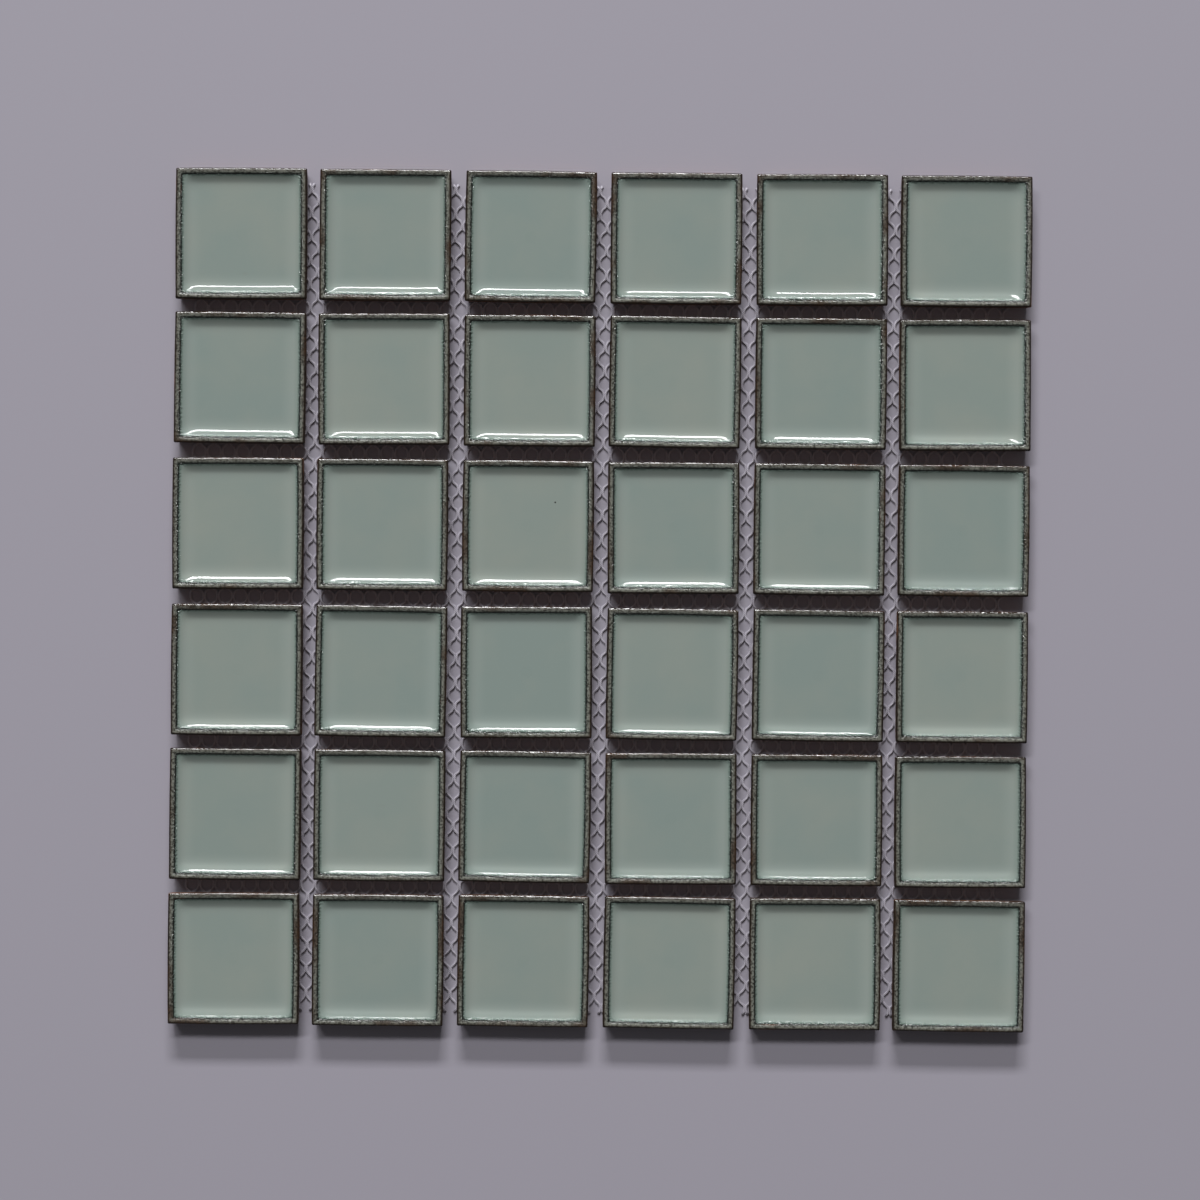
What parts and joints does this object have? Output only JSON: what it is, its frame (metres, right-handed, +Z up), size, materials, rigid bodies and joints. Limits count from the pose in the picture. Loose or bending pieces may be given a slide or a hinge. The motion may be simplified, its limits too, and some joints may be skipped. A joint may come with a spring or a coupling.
{
  "type": "mosaic tile sheet",
  "caption": "Square sheet of small glazed ceramic tiles, each dished inside a raised rim, glued in even rows to a backing of open netting.",
  "frame": {"origin": "under the middle of the field of tiles, on the plane that the netting rests on", "axes": "+Z up through the glazed faces; X along the tile rows, row 1 being at +Y and column 1 at -X"},
  "size_m": [0.2952, 0.295, 0.0065],
  "materials": {
    "glazed_stoneware": "glossy celadon glaze, thin and brown on the rims",
    "netting": "white knitted polyester netting, stiffened by glue"
  },
  "bodies": {
    "root": {"tile_row1_column1": "glazed_stoneware", "tile_row1_column2": "glazed_stoneware", "tile_row1_column3": "glazed_stoneware", "tile_row1_column4": "glazed_stoneware", "tile_row1_column5": "glazed_stoneware", "tile_row1_column6": "glazed_stoneware", "tile_row2_column1": "glazed_stoneware", "tile_row2_column2": "glazed_stoneware", "tile_row2_column3": "glazed_stoneware", "tile_row2_column4": "glazed_stoneware", "tile_row2_column5": "glazed_stoneware", "tile_row2_column6": "glazed_stoneware", "tile_row3_column1": "glazed_stoneware", "tile_row3_column2": "glazed_stoneware", "tile_row3_column3": "glazed_stoneware", "tile_row3_column4": "glazed_stoneware", "tile_row3_column5": "glazed_stoneware", "tile_row3_column6": "glazed_stoneware", "tile_row4_column1": "glazed_stoneware", "tile_row4_column2": "glazed_stoneware", "tile_row4_column3": "glazed_stoneware", "tile_row4_column4": "glazed_stoneware", "tile_row4_column5": "glazed_stoneware", "tile_row4_column6": "glazed_stoneware", "tile_row5_column1": "glazed_stoneware", "tile_row5_column2": "glazed_stoneware", "tile_row5_column3": "glazed_stoneware", "tile_row5_column4": "glazed_stoneware", "tile_row5_column5": "glazed_stoneware", "tile_row5_column6": "glazed_stoneware", "tile_row6_column1": "glazed_stoneware", "tile_row6_column2": "glazed_stoneware", "tile_row6_column3": "glazed_stoneware", "tile_row6_column4": "glazed_stoneware", "tile_row6_column5": "glazed_stoneware", "tile_row6_column6": "glazed_stoneware", "backing_net": "netting"}
  },
  "joints": []
}
